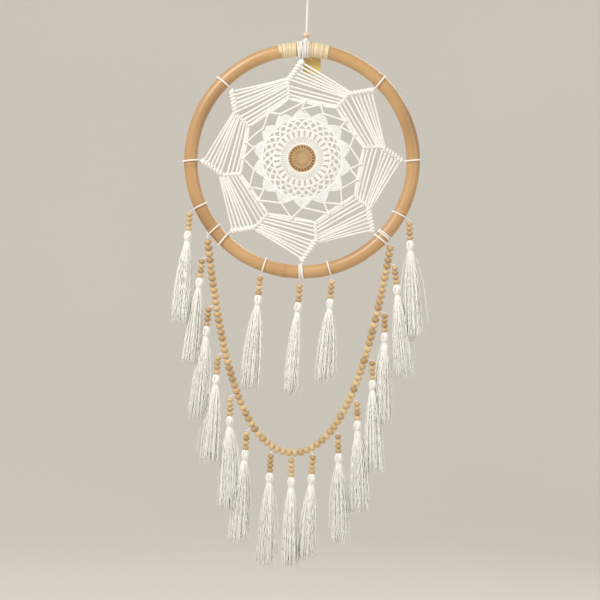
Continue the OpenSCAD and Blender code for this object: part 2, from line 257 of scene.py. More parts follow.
def woodFinish(name, dark, middle, light, rough=0.42):
    # turned wood: grain along the bore, end rings near the hole, each bead its own tone
    p = Paint(name, rough, Coat_Weight=0.2, Coat_Roughness=0.3)
    grain = p.node("ShaderNodeCombineXYZ", None,
                   {0: p.mark("along") * 1.5, 1: p.mark("around") * 5.0, 2: p.mark("tone") * 40.0})
    lines = p.noise(grain, 3.2, 5.0, 0.62)
    pores = p.noise(grain, 14.0, 3.0, 0.6)
    shade = lines * 0.62 + p.mark("tone") * 0.38
    base = p.node("ShaderNodeValToRGB", {"stops": [(0.24, dark), (0.47, middle), (0.74, light)]}, {0: shade})
    # painted shade: darker on the faces near the hole and all through the bore, between neighbouring beads
    holeShade = p.blend(p.mark("edge") * 0.55, base, rgb(*(0.62 * c for c in dark)))
    p.feed("Base Color", holeShade)
    p.feed("Roughness", rough - 0.08 + pores * 0.2)
    p.bump(pores * 0.6 + lines * 0.4, 0.3, 0.0003)
    return p.material


def cardFinish():
    p = Paint("card", 0.5, Coat_Weight=0.1)
    fibres = p.noise(p.place(), 700.0, 4.0, 0.7)
    cloud = p.noise(p.place(), 50.0, 2.0)
    base = p.node("ShaderNodeValToRGB", {"stops": [(0.3, (0.60, 0.43, 0.13)), (0.7, (0.78, 0.60, 0.24))]},
                  {0: fibres * 0.4 + cloud * 0.6})
    p.feed("Base Color", base)
    p.feed("Roughness", 0.4 + fibres * 0.25)
    p.bump(fibres, 0.2, 0.0001)
    return p.material


def steelFinish():
    p = Paint("brad", 0.4, Metallic=1.0)
    rub = p.noise(p.place(), 1500.0, 3.0)
    p.feed("Base Color", p.blend(rub, rgb(0.42, 0.42, 0.41), rgb(0.66, 0.66, 0.65)))
    p.feed("Roughness", 0.3 + rub * 0.3)
    return p.material


def makeFinishes():
    return {
        "rattan": rattanFinish(),
        "peel": peelFinish(),
        "webCotton": yarnFinish("webCotton", (0.96, 0.945, 0.92), (0.80, 0.77, 0.72)),
        "hangingCotton": yarnFinish("hangingCotton", (0.92, 0.90, 0.86), (0.70, 0.66, 0.60)),
        "tasselCotton": yarnFinish("tasselCotton", (0.98, 0.97, 0.95), (0.88, 0.85, 0.80), 0.6, 0.5),
        "jute": yarnFinish("jute", (0.66, 0.455, 0.25), (0.27, 0.15, 0.065), 1.4),
        "creamYarn": yarnFinish("creamYarn", (0.97, 0.96, 0.93), (0.84, 0.81, 0.75)),
        "whiteYarn": yarnFinish("whiteYarn", (0.96, 0.96, 0.95), (0.80, 0.79, 0.78)),
        "redThread": yarnFinish("redThread", (0.62, 0.07, 0.05), (0.30, 0.02, 0.02)),
        "beadWood": woodFinish("beadWood", (0.40, 0.235, 0.095), (0.60, 0.405, 0.19), (0.76, 0.58, 0.325)),
        "paleWood": woodFinish("paleWood", (0.50, 0.33, 0.19), (0.68, 0.50, 0.33), (0.80, 0.64, 0.46)),
        "card": cardFinish(),
        "brad": steelFinish(),
    }


class Batch:  # many tubes, strips and beads gathered into one mesh
    def __init__(self):
        self.points = []
        self.faces = []
        self.marks = {"tone": [], "along": [], "around": [], "edge": []}
        self.count = 0

    def add(self, points, faces, tone=0.5, along=0.0, around=0.0, edge=0.0):
        points = np.asarray(points, dtype=float)
        n = len(points)
        self.points.append(points)
        self.faces.append(np.asarray(faces, dtype=int) + self.count)
        for key, value in (("tone", tone), ("along", along), ("around", around), ("edge", edge)):
            self.marks[key].append(np.broadcast_to(np.asarray(value, dtype=float), (n,)))
        self.count += n

    def finish(self, name, material, body, slot, *nodes):
        points = np.concatenate(self.points)
        faces = [tuple(f) if f[3] != f[2] else tuple(f[:3]) for f in np.concatenate(self.faces).tolist()]
        mesh = bpy.data.meshes.new(name)
        mesh.from_pydata(points.tolist(), [], faces)
        for key, values in self.marks.items():
            layer = mesh.attributes.new(key, "FLOAT", "POINT")
            layer.data.foreach_set("value", np.concatenate(values).astype(np.float32))
        mesh.shade_smooth()
        mesh.materials.append(material)
        thing = bpy.data.objects.new(name, mesh)
        bpy.context.scene.collection.objects.link(thing)
        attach(thing, body)
        if nodes:
            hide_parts(*nodes)
        return thing


def resample(path, step, closed=False):
    path = np.asarray(path, dtype=float)
    if closed:
        path = np.vstack([path, path[:1]])
    gaps = np.linalg.norm(np.diff(path, axis=0), axis=1)
    length = np.concatenate([[0], np.cumsum(gaps)])
    n = max(4, int(math.ceil(length[-1] / step)))
    where = np.linspace(0, length[-1], n + 1)
    if closed:
        where = where[:-1]
    return np.stack([np.interp(where, length, path[:, i]) for i in range(3)], axis=1), length[-1]


def transport(path, closed=False):  # a frame carried along the path without twisting
    if closed:
        ahead = np.roll(path, -1, axis=0) - np.roll(path, 1, axis=0)
    else:
        ahead = np.gradient(path, axis=0)
    ahead = ahead / np.linalg.norm(ahead, axis=1)[:, None]
    side = np.cross(ahead[0], [0, 1, 0] if abs(ahead[0][1]) < 0.8 else [1, 0, 0])
    sides = []
    for t in ahead:
        side = side - t * np.dot(side, t)
        side = side / np.linalg.norm(side)
        sides.append(side)
    sides = np.array(sides)
    return ahead, sides, np.cross(ahead, sides)


def tubeFaces(n, sides, closed=False):
    rows = np.arange(n if closed else n - 1)[:, None]
    cols = np.arange(sides)[None, :]
    a = rows * sides + cols
    b = rows * sides + (cols + 1) % sides
    c = ((rows + 1) % n) * sides + (cols + 1) % sides
    d = ((rows + 1) % n) * sides + cols
    faces = np.stack([a, b, c, d], axis=-1).reshape(-1, 4)
    if closed:
        return faces
    caps = []
    for ring, order in ((0, -1), (n - 1, 1)):
        spots = (ring * sides + np.arange(sides))[::order]
        for i in range(1, sides - 1):
            caps.append([spots[0], spots[i], spots[i + 1], spots[i + 1]])
    return np.vstack([faces, caps])


def wallFaces(n, sides):  # an open tube's faces, without its caps
    return tubeFaces(n, sides)[:(n - 1) * sides]


def tube(batch, path, radius, sides=8, closed=False, tone=0.5):
    path = np.asarray(path, dtype=float)
    _, side, up = transport(path, closed)
    turn = np.linspace(0, 2 * math.pi, sides, endpoint=False)
    radius = np.broadcast_to(np.asarray(radius, dtype=float), (len(path),))
    ring = (np.cos(turn)[None, :, None] * side[:, None, :] + np.sin(turn)[None, :, None] * up[:, None, :])
    points = path[:, None, :] + radius[:, None, None] * ring
    batch.add(points.reshape(-1, 3), tubeFaces(len(path), sides, closed), tone)


def rope(batch, path, radius, plies=3, pitch=None, closed=False, tone=None, sides=6):
    pitch = pitch or radius * 6.0
    tone = dice.uniform(0.25, 0.75) if tone is None else tone
    path, length = resample(path, pitch / 7, closed)
    _, side, up = transport(path, closed)
    turns = length / pitch
    if closed:
        turns = max(1, round(turns))
    start = dice.uniform(0, 2 * math.pi)
    spin = start + np.linspace(0, 2 * math.pi * turns, len(path), endpoint=not closed)
    offset = radius * (0.48 if plies > 2 else 0.5)
    for k in range(plies):
        a = spin + 2 * math.pi * k / plies
        ply = path + offset * (np.cos(a)[:, None] * side + np.sin(a)[:, None] * up)
        tube(batch, ply, radius - offset, sides, closed, tone + dice.uniform(-0.06, 0.06))


def coil(path, radius, pitch, phase=0.0, perTurn=14):  # a helix wound round a straight or bent core
    core, length = resample(path, pitch / perTurn)
    _, side, up = transport(core)
    a = phase + np.linspace(0, 2 * math.pi * length / pitch, len(core))
    return core + radius * (np.cos(a)[:, None] * side + np.sin(a)[:, None] * up)


def poleRing(angle, radius, lean=0.0, steps=40):  # a loop round the pole, open to lean along it
    turn = np.linspace(0, 2 * math.pi, steps, endpoint=False)
    points = []
    for a in turn:
        here = angle + lean * math.cos(a)
        points.append(polar(hoopR + radius * math.cos(a), here, -radius * math.sin(a)))
    return np.array(points)


def lathe(batch, outline, origin, axis, tone, sides=28):
    # outline is (radius, height) from the hole's top edge round to its bottom edge
    axis = unit(np.asarray(axis, dtype=float))
    side = unit(np.cross(axis, [0, 1, 0.013]))
    up = np.cross(axis, side)
    turn = np.linspace(0, 2 * math.pi, sides, endpoint=False)
    rings = []
    for r, h in outline:
        rings.append(origin + axis * h + r * (np.cos(turn)[:, None] * side + np.sin(turn)[:, None] * up))
    n = len(outline)
    heights = np.repeat([h for _, h in outline], sides)
    radii = np.repeat([r for r, _ in outline], sides)
    # how near the hole each point lies, for the painted shade there
    edge = np.clip(1 - (radii - radii.min()) / (0.35 * (radii.max() - radii.min())), 0, 1)
    around = np.tile(np.cos(turn) * 1.2 + np.sin(turn) * 0.7, n)
    batch.add(np.concatenate(rings), wallFaces(n, sides), tone,
              heights / 0.01 + tone * 9, around + radii / 0.004, edge)
    inner = np.concatenate([rings[-1], rings[0]])  # the wall of the bore, fully in the painted shade
    batch.add(inner, wallFaces(2, sides), tone, 0.0, 0.0, 1.0)


def beadOutline(d, h, bore, steps=14):  # one round rim between two faces with eased hole edges
    rim = h / 2
    middle = d / 2 - rim
    first = math.acos(max(-1, min(1, (bore + 0.35 * mm - middle) / rim)))
    outline = [(bore, rim * math.sin(first) - 0.45 * mm)]
    for i in range(steps + 1):
        a = first * (1 - 2 * i / steps)
        outline.append((middle + rim * math.cos(a), rim * math.sin(a)))
    outline.append((bore, -rim * math.sin(first) + 0.45 * mm))
    return outline


def ringPath(spot, u, v, steps):  # a closed loop round a spot, through u and then v
    turn = np.linspace(0, 2 * math.pi, steps, endpoint=False)[:, None]
    return spot + np.cos(turn) * u + np.sin(turn) * v


# hanging cord, bead, knot and loop
hanging = {
    "cord": 1.8 * mm, "lay": 9 * mm, "tone": 0.6,
    "bead": (13 * mm, 8.5 * mm, 2.2 * mm), "beadZ": -97 * mm, "beadTilt": 0.06,
    "knotZ": -29 * mm, "knotSize": 1.15 * mm, "knotCord": 1.5 * mm,
    "loopR": 9.8 * mm, "loopZ": -8 * mm, "loopFoot": (2 * mm, -21.5 * mm),
}
hangingRoute = [(0, 0, -0.0344), (0, 0, -0.05), (0, 0, -0.075), (0, 0, -0.102)]


def hangingPieces(paint):
    r = hanging["cord"]
    cord = Batch()
    rope(cord, hangingRoute, r, 3, hanging["lay"], tone=hanging["tone"])
    cordPiece = cord.finish("hangingCord", paint["hangingCotton"], "cord", "hanging_cotton", "hanging_cord")

    knot = Batch()  # an overhand knot
    turn = np.linspace(0, 2 * math.pi, 60, endpoint=False)
    tie = hanging["knotSize"] * np.stack([
        np.sin(turn) + 2 * np.sin(2 * turn),
        -1.1 * np.sin(3 * turn),
        np.cos(turn) - 2 * np.cos(2 * turn),
    ], axis=1)
    rope(knot, tie + np.array([0, 0, hanging["knotZ"]]), hanging["knotCord"], 3, 7 * mm, closed=True,
         tone=hanging["tone"])
    knotPiece = knot.finish("hangingKnot", paint["hangingCotton"], "knot", "hanging_cotton", "hanging_knot")

    loop = Batch()
    bend = [(hanging["loopR"] * math.cos(a), 0, hanging["loopZ"] + hanging["loopR"] * math.sin(a))
            for a in np.linspace(math.pi, 0, 24)]
    footX, footZ = hanging["loopFoot"]
    path = [(-footX, 0, footZ)] + bend + [(footX, 0, footZ)]
    rope(loop, path, r, 3, hanging["lay"], tone=hanging["tone"])
    loopPiece = loop.finish("hangingLoop", paint["hangingCotton"], "loop", "hanging_cotton", "hanging_loop")

    bead = Batch()
    d, h, bore = hanging["bead"]
    lathe(bead, beadOutline(d, h, bore, 20), np.array([0, 0, hanging["beadZ"]]),
          (hanging["beadTilt"], 0, 1), 0.7, 40)
    beadPiece = bead.finish("hangingBead", paint["paleWood"], "cord_bead", "pale_bead_wood", "hanging_bead")


garland = {
    "beads": 80, "bead": (13.6 * mm, 9.6 * mm, 1.5 * mm), "pitch": 10.3 * mm, "lead": 12 * mm,
    "endBead": 0.93, "tilt": 0.05, "cord": 1.2 * mm, "routeSteps": 72,
    "tieR": 204.05 * mm, "tieAngle": 40, "tieCord": 1.5 * mm, "tieKnot": 2.1 * mm,
    "ties": {220: (0,), 320: (-0.5, 0.5)},  # angle, and where each turn lies beside it
}


def fitCatenary():  # the curve of the garland's own length between its two ties
    x = garland["tieR"] * math.cos(math.radians(garland["tieAngle"]))
    z = -hoop["drop"] - garland["tieR"] * math.sin(math.radians(garland["tieAngle"]))
    half = (garland["beads"] - 1) / 2 * garland["pitch"] + garland["lead"]
    low, high = x / 20, x
    for _ in range(60):
        a = (low + high) / 2
        if a * math.sinh(x / a) > half:
            low = a
        else:
            high = a
    return a, z - a * (math.cosh(x / a) - 1), half


sag, lowest, garlandHalf = fitCatenary()


def garlandPoint(s):
    return np.array([sag * math.asinh(s / sag), 0, lowest + math.hypot(sag, s) - sag])


def garlandAlong(s):
    return unit(np.array([sag, 0, s]))


def garlandPieces(paint):
    steps = garland["routeSteps"]
    route = [garlandPoint(garlandHalf * (2 * i / steps - 1)) for i in range(steps + 1)]
    cord = Batch()
    rope(cord, route, garland["cord"], 3, 7 * mm, tone=0.5, sides=5)
    cordPiece = cord.finish("garlandCord", paint["webCotton"], "garland", "web_cotton", "garland_cord")

    beads = Batch()
    d, h, bore = garland["bead"]
    for i in range(garland["beads"]):
        s = (i + 0.5 - garland["beads"] / 2) * garland["pitch"]
        wobble = np.array([dice.gauss(0, garland["tilt"]), dice.gauss(0, garland["tilt"]), 0])
        grow = garland["endBead"] if i in (0, garland["beads"] - 1) else dice.uniform(0.965, 1.015)
        lathe(beads, beadOutline(d * grow, h * dice.uniform(0.96, 1.0), bore), garlandPoint(s),
              garlandAlong(s) + wobble, dice.random())
    beadPiece = beads.finish("garlandBeads", paint["beadWood"], "garland", "bead_wood", "garland_beads")

    2 * garlandHalf

    ties = Batch()
    for angle, turns in garland["ties"].items():
        for slip in turns:
            rope(ties, poleRing(angle + slip, hoop["pole"] + 1.4 * mm, 0.15), garland["tieCord"], 3, 8 * mm,
                 closed=True)
        knot = polar(hoopR + hoop["pole"] + 1.9 * mm, angle)
        bow = [knot + garland["tieKnot"] * np.array([math.cos(a), 0.5 * math.sin(2 * a), math.sin(a)])
               for a in np.linspace(0, 2 * math.pi, 18, endpoint=False)]
        rope(ties, bow, 1.1 * mm, 3, 5 * mm, closed=True)
    ties.finish("garlandTies", paint["webCotton"], "hoop", "web_cotton", "garland_ties")


rattan = {
    "steps": 540, "sides": 40, "swell": 0.55 * mm,
    "knuckles": (184, 338, 262, 48),
    "burns": ((20, 16), (150, 22), (214, 13), (300, 18)),  # angle, how far it spreads
}


def turnFrom(angle, spot):  # degrees from the spot, the short way round
    return (angle - spot + 180) % 360 - 180


def rattanHoop(paint):
    steps, sides = rattan["steps"], rattan["sides"]
    turn = np.linspace(0, 2 * math.pi, sides, endpoint=False)
    points, along, around, knuckle, burn = [], [], [], [], []
    for i in range(steps):
        a = 360 * i / steps
        here = math.radians(a)
        swell = mark = 0.0
        for spot in rattan["knuckles"]:  # a low ridge with a groove and a dark scar beside it
            off = turnFrom(a, spot) * math.radians(1) * hoopR / mm
            swell += math.exp(-(off / 4.5) ** 2) - 0.55 * math.exp(-((off - 3.2) / 1.3) ** 2)
            mark += math.exp(-((off - 3.2) / 1.1) ** 2)
        heat = sum(math.exp(-(turnFrom(a, spot) / width) ** 2) for spot, width in rattan["burns"])
        wave = 0.09 * math.sin(math.radians(a * 7 + 40)) + 0.07 * math.sin(math.radians(a * 17))
        r = hoop["pole"] + rattan["swell"] * swell + wave * mm - 0.1 * mm
        for t in turn:
            points.append(polar(hoopR + r * math.cos(t), a, -r * math.sin(t)))
            along.append(math.cos(here) * 3 + math.sin(here) * 1.7)
            around.append(math.cos(t) + 0.6 * math.sin(2 * t + 1) + 1.3 * math.sin(t))
            knuckle.append(min(1, mark * (0.7 + 0.3 * math.sin(3 * t))))
            burn.append(min(1, heat * (0.45 + 0.4 * math.sin(t + a / 30))))
    batch = Batch()
    batch.add(points, tubeFaces(steps, sides, True), 0.5, np.array(along), np.array(around))
    batch.marks["knuckle"] = [np.array(knuckle)]
    batch.marks["burn"] = [np.array(burn)]
    batch.finish("rattanHoop", paint["rattan"], "hoop", "rattan", "rattan_hoop")


peel = {"width": 3.3 * mm, "thick": 0.4 * mm, "clear": 0.55 * mm, "crooked": 0.12, "lift": 0.22, "steps": 36,
        "corners": 12}


def peelBinding(paint, name, start, stop, node):
    # a flat strip wound edge to edge, each turn a little crooked
    turns = abs(stop - start) * math.radians(1) * hoopR / peel["width"]
    steps = int(turns * peel["steps"])
    section = [(math.cos(a) * abs(math.cos(a)) ** -0.45 if abs(math.cos(a)) > 1e-6 else 0, math.sin(a))
               for a in np.linspace(0, 2 * math.pi, peel["corners"], endpoint=False)]
    jitter = [dice.uniform(-peel["crooked"], peel["crooked"]) for _ in range(int(turns) + 3)]
    lift = [dice.uniform(0, peel["lift"]) for _ in range(int(turns) + 3)]
    points, along, tone = [], [], []
    for i in range(steps + 1):
        t = i / peel["steps"]
        k = int(t)
        a = 2 * math.pi * t - math.pi / 2
        here = start + (stop - start) * min(1, (t + mix(jitter[k], jitter[k + 1], t - k)) / turns)
        r = hoop["pole"] + peel["clear"] + mm * mix(lift[k], lift[k + 1], t - k)
        for w, h in section:
            slide = w * 0.47 * peel["width"] / hoopR / math.radians(1)
            out = r + h * peel["thick"]
            points.append(polar(hoopR + out * math.cos(a), here + slide, -out * math.sin(a)))
            along.append(t)
            tone.append(0.5 + 0.5 * math.sin(k * 2.4))
    batch = Batch()
    batch.add(points, tubeFaces(steps + 1, peel["corners"]), np.array(tone), np.array(along) * 6,
              np.tile([w for w, _ in section], steps + 1))
    batch.finish(name, paint["peel"], "hoop", "peel", node)


wraps = {"cord": 1.5 * mm, "step": 3.3 * mm, "turns": (-3, -2, -1, 1, 2), "crooked": 0.12, "lean": 0.2,
         "ends": (-7.5, -3.5, 2.5), "endCord": 1.25 * mm}


def topWraps(paint):
    batch = Batch()
    top = anchorAngle(2)
    step = wraps["step"] / hoopR / math.radians(1)
    for place in wraps["turns"]:
        here = top + place * step + dice.uniform(-wraps["crooked"], wraps["crooked"])
        lean = dice.uniform(-wraps["lean"], wraps["lean"])
        rope(batch, poleRing(here, hoop["pole"] + 1.45 * mm, lean), wraps["cord"], 3, 8 * mm, closed=True)
    crown = -hoop["drop"] + hoop["outer"]
    head = np.array([0, 0, hanging["beadZ"] - 4.0 * mm])
    for x in wraps["ends"]:  # drawn up from the pole to meet under the bead
        foot = np.array([x * mm, -6 * mm if x < 0 else 5 * mm, crown - 0.6 * mm])
        middle = np.array([x * 0.5 * mm, -2 * mm, crown + 3.6 * mm])
        rope(batch, [foot, mix(foot, middle, 0.6), middle, mix(middle, head, 0.6), head], wraps["endCord"], 3,
             7 * mm)
    batch.finish("topWraps", paint["webCotton"], "hoop", "web_cotton", "top_wraps")


tag = {"thread": 0.42 * mm, "lay": 2.2 * mm, "inside": 0.35 * mm}


def tagThread(paint):
    low, high = (np.array(corner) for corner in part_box("tag_thread"))
    radius = (high[2] - low[2]) / 2 - tag["inside"]
    ring = ringPath((low + high) / 2, radius * back, radius * upward, 48)
    batch = Batch()
    rope(batch, ring, tag["thread"], 2, tag["lay"], closed=True, sides=5)
    batch.finish("tagThread", paint["redThread"], "hoop", "tag_string", "tag_thread")


web = {
    "cord": 1.75 * mm, "outer": 6, "inner": 3, "bunch": 3.0 * mm,  # a field's strands, how close they end
    "anchorCord": 1.7 * mm, "anchorLean": 0.35,
    "thickCore": 2.6 * mm, "thickCoil": (3.2 * mm, 5.8 * mm, 2.5 * mm),  # its radius, pitch and cord
    "thinCore": 1.5 * mm, "thinCoil": (1.9 * mm, 4.3 * mm, 1.8 * mm),
    "hitches": ((2.9 * mm, 1.75 * mm), (3.1 * mm, 1.7 * mm), (2.2 * mm, 1.35 * mm)),  # radius, cord
    "ringKnots": (2, 2, 1, 2, 2, 1, 2, 2), "ringGap": 1.5, "knotR": 2.9 * mm, "knotCord": 1.5 * mm,
}


def sidePoint(k, t):
    return mix(thinPoint(k), thinPoint(k + 1), t)


def knotPoints():
    return [sidePoint(k, i / (n + 1)) for k, n in enumerate(web["ringKnots"]) for i in range(1, n + 1)]


def anchorLoops(paint):
    batch = Batch()
    for k in range(8):
        ring = poleRing(anchorAngle(k), hoop["pole"] + 1.6 * mm, web["anchorLean"])
        rope(batch, ring, web["anchorCord"], 3, 9 * mm, closed=True)
    batch.finish("anchorLoops", paint["webCotton"], "hoop", "web_cotton", "anchor_loops")


def webSpines(paint):
    # half hitches stacked slantwise on a core, then finer ones to the inner ring
    batch = Batch()
    thick, thin = web["thickCoil"], web["thinCoil"]
    for k in range(8):
        a, b, c = anchorPoint(k), thickPoint(k), thinPoint(k)
        tube(batch, [mix(a, b, t) for t in np.linspace(0, 1, 8)], web["thickCore"], 8)
        tube(batch, [mix(b, c, t) for t in np.linspace(0, 1, 8)], web["thinCore"], 8)
        rope(batch, coil([a, b], thick[0], thick[1], 1.3 * k), thick[2], 3, 10 * mm)
        rope(batch, coil([b, c], thin[0], thin[1], 0.7 * k), thin[2], 3, 8 * mm)
        out = unit(a - centre)
        across = np.array([-out[2], 0, out[0]])
        for spot, (size, cord) in zip((a, a - out * 2.2 * mm, c), web["hitches"]):
            ring = ringPath(spot, size * (across + 0.35 * out), size * back, 22)
            rope(batch, ring, cord, 3, 7 * mm, closed=True)
        rope(batch, [a + out * 5.5 * mm, a - out * 1 * mm], 1.9 * mm, 3, 7 * mm)
    batch.finish("webSpines", paint["webCotton"], "hoop", "web_cotton", "web_spines")


def strandPath(p, q, depth, slack):
    away = unit(mix(p, q, 0.5) - centre)
    path = []
    for t in np.linspace(0, 1, 13):
        bow = math.sin(math.pi * t)
        path.append(mix(p, q, t) - away * slack * bow + back * depth * (1 - 0.6 * bow))
    return path


def webStrands(paint):
    batch = Batch()
    for k in range(8):
        a, b, c = anchorPoint(k), thickPoint(k), thinPoint(k)
        a2, b2, c2 = anchorPoint(k - 1), thickPoint(k - 1), thinPoint(k - 1)
        for i in range(web["outer"]):
            start = mix(a, b, 0.06 + 0.86 * i / (web["outer"] - 1))
            slip = (i - (web["outer"] - 1) / 2) * web["bunch"]
            end = b2 + unit(b2 - a2 if slip < 0 else c2 - b2) * slip
            path = strandPath(start, end, (-1) ** i * 0.9 * mm, dice.uniform(-0.6, 1.2) * mm)
            rope(batch, path, web["cord"], 3, dice.uniform(8, 10) * mm)
        for i in range(web["inner"]):
            start = mix(b, c, 0.26 + 0.25 * i)
            end = mix(b2, c2, 0.46 + 0.2 * i)
            path = strandPath(start, end, (-1) ** i * 0.4 * mm, dice.uniform(0, 1) * mm)
            rope(batch, path, web["cord"], 3, dice.uniform(8, 10) * mm)
    batch.finish("webStrands", paint["webCotton"], "hoop", "web_cotton", "web_strands")


def ringCords(paint):
    batch = Batch()
    for k, knots in enumerate(web["ringKnots"]):
        a, b = thinPoint(k), thinPoint(k + 1)
        along = unit(b - a)
        aside = np.array([-along[2], 0, along[0]])
        for slip in (-web["ringGap"], web["ringGap"]):
            path = []
            for t in np.linspace(0, 1, 15):  # two cords that part between the spines
                apart = math.sin(math.pi * min(1, max(0, t * 1.1 - 0.05))) ** 0.4
                path.append(mix(a, b, t) + aside * mm * slip * apart)
            rope(batch, path, web["cord"], 3, 9 * mm)
        for i in range(1, knots + 1):
            for shift in (-1.1, 1.1):
                spot = mix(a, b, i / (knots + 1)) + along * mm * shift
                ring = ringPath(spot, 0.8 * mm * along + web["knotR"] * aside, web["knotR"] * back, 20)
                rope(batch, ring, web["knotCord"], 3, 7 * mm, closed=True)
    batch.finish("ringCords", paint["webCotton"], "hoop", "web_cotton", "ring_cords")


doily = {"r": 85 * mm, "notch": 13 * mm, "up": 4 * mm, "petals": 14, "turn": 41}


def doilyPoint(r, angle, y=0.0):
    return polar(r, angle, y) + np.array([0, 0, doily["up"]])


def chainRound(batch, r, stitches, reach, yarn, height=0.6 * mm):
    # two yarns that weave past each other, like a row of chain stitches
    for phase in (0, math.pi):
        path = []
        for i in range(stitches * 8):
            a = 2 * math.pi * i / (stitches * 8)
            path.append(doilyPoint(r + reach * math.sin(stitches * a + phase), math.degrees(a),
                                   height * math.cos(stitches * a + phase)))
        tube(batch, np.array(path), yarn, 6, True, dice.uniform(0.3, 0.7))


def post(batch, r0, a0, r1, a1, yarn, tone=None):  # a treble stitch: two yarns twisted once
    middle = doilyPoint(mix(r0, r1, 0.5), mix(a0, a1, 0.5), -0.4 * mm)
    rope(batch, [doilyPoint(r0, a0), middle, doilyPoint(r1, a1)], yarn, 2, 6 * mm, tone=tone, sides=6)


def petalRim(angle):  # the shell's outline: a blunt point over each petal
    step = 360 / doily["petals"]
    off = abs((angle - doily["turn"] + step / 2) % step - step / 2) / (step / 2)
    return doily["r"] - doily["notch"] * off ** 1.2


jute = {"shadeSheet": (1.6 * mm, 22.2 * mm, 0.7 * mm), "rows": 6, "yarn": 0.8 * mm,
        "posts": 24, "postFrom": 16.4 * mm, "postTo": 21.8 * mm, "postYarn": 1.15 * mm, "rim": 22.3 * mm}


def doilyCentre(paint):
    batch = Batch()
    inner, outer, thick = jute["shadeSheet"]  # a dark jute-coloured sheet under the close stitches: painted shade that shows through the gaps between them
    points = []
    for a in np.linspace(0, 360, 96, endpoint=False):
        for r, y in ((inner, -thick / 2), (outer, -thick / 2), (outer, thick / 2), (inner, thick / 2)):
            points.append(doilyPoint(r, a, y))
    # the deepest jute tone, for the painted shade in the gaps
    batch.add(points, tubeFaces(96, 4, True), -1.0)
    for row in range(jute["rows"]):
        r = (2.2 + 2.75 * row) * mm
        chainRound(batch, r, max(6, int(round(r / mm * 1.9))), 1.0 * mm, jute["yarn"])
    for i in range(jute["posts"]):  # short stitches with a gap between each
        a = doily["turn"] + i * 360 / jute["posts"]
        post(batch, jute["postFrom"], a, jute["postTo"], a, jute["postYarn"], 0.6)
    chainRound(batch, jute["rim"], 44, 0.7 * mm, 0.75 * mm)
    batch.finish("doilyCentre", paint["jute"], "hoop", "jute", "doily_centre")


cream = {"spokes": 28, "fan": 2.35,  # each row of stitches: from, to, yarn
         "inner": (24.8 * mm, 37 * mm, 1.4 * mm), "outer": (36 * mm, 48 * mm, 1.5 * mm)}


def doilyRounds(paint):
    batch = Batch()
    step = 360 / cream["spokes"]
    chainRound(batch, 24.6 * mm, 46, 0.9 * mm, 0.85 * mm)
    r0, r1, yarn = cream["inner"]
    for i in range(2 * cream["spokes"]):
        a = doily["turn"] + i * step / 2
        post(batch, r0, a, r1, a, yarn)
    r0, r1, yarn = cream["outer"]
    for i in range(cream["spokes"]):  # three stitches together, then a gap
        a = doily["turn"] + i * step
        for slip in (-cream["fan"], 0, cream["fan"]):
            post(batch, r0, a + slip * 1.1, r1, a + slip * 0.95, yarn, 0.6)
    chainRound(batch, 48.6 * mm, 84, 0.9 * mm, 0.95 * mm)
    batch.finish("doilyRounds", paint["creamYarn"], "hoop", "cream_yarn", "doily_rounds")


net = {"arches": 28, "rounds": ((49.8, 7.2, 0.0), (57.4, 7.0, 0.5)), "yarn": 1.4 * mm,  # foot, rise, turn
       "knots": ((57.0, 0.0), (64.2, 0.5)), "knotR": 1.5 * mm, "knotYarn": 0.85 * mm}


def doilyNet(paint):
    # two rounds of arches, the second hung from the tops of the first
    batch = Batch()
    half, steps = net["arches"] / 2, net["arches"] * 14
    for foot, rise, shift in net["rounds"]:
        for side in (-0.95, 0.95):
            path = []
            for i in range(steps):
                a = 2 * math.pi * i / steps
                bow = abs(math.cos(half * (a - math.radians(doily["turn"])) + math.pi * shift)) ** 0.75
                path.append(doilyPoint(mm * (foot + side + rise * bow), math.degrees(a), 0.35 * mm * side))
            rope(batch, np.array(path), net["yarn"], 2, 5 * mm, closed=True, tone=0.6 + 0.1 * side)
    for i in range(net["arches"]):
        for r, shift in net["knots"]:
            spot = doilyPoint(r * mm, doily["turn"] + (i + shift) * 360 / net["arches"])
            ring = ringPath(spot, net["knotR"] * sideways, net["knotR"] * (0.6 * back + upward), 10)
            tube(batch, ring, net["knotYarn"], 6, True, 0.6)
    batch.finish("doilyNet", paint["creamYarn"], "hoop", "cream_yarn", "doily_net")


shell = {"foot": 66 * mm, "postYarn": 1.1 * mm, "rows": 7, "rowStep": 3.15, "yarn": 0.7 * mm, "steps": 72}


def doilyEdging(paint):
    # shells: rows of stitches that follow the petals, over a few long ones
    batch = Batch()
    step = 360 / doily["petals"]
    for i in range(doily["petals"]):
        middle = doily["turn"] + i * step
        for j in range(-3, 4):
            head = middle + j / 3 * step * 0.44
            post(batch, shell["foot"], middle + j / 3 * step * 0.34, petalRim(head) - 1.5 * mm, head,
                 shell["postYarn"], 0.5)
    steps = doily["petals"] * shell["steps"]
    for row in range(shell["rows"]):
        stitches = doily["petals"] * (13 - row)
        for side in (0, math.pi):
            path = []
            for i in range(steps):
                a = 2 * math.pi * i / steps
                rim = petalRim(math.degrees(a)) - (1.6 + shell["rowStep"] * row) * mm
                reach = max(65.6 * mm + 0.35 * mm * row, rim)
                path.append(doilyPoint(reach + 0.68 * mm * math.sin(stitches * a + side), math.degrees(a),
                                       0.55 * mm * math.cos(stitches * a + side)))
            tube(batch, np.array(path), shell["yarn"], 5, True, dice.uniform(0.2, 0.8))
    batch.finish("doilyEdging", paint["whiteYarn"], "hoop", "white_yarn", "doily_edging")


lace = {"tip": 83.6 * mm, "cord": 1.55 * mm, "tipFront": 1.9 * mm, "endFront": 1.6 * mm, "ringR": 1.6 * mm}


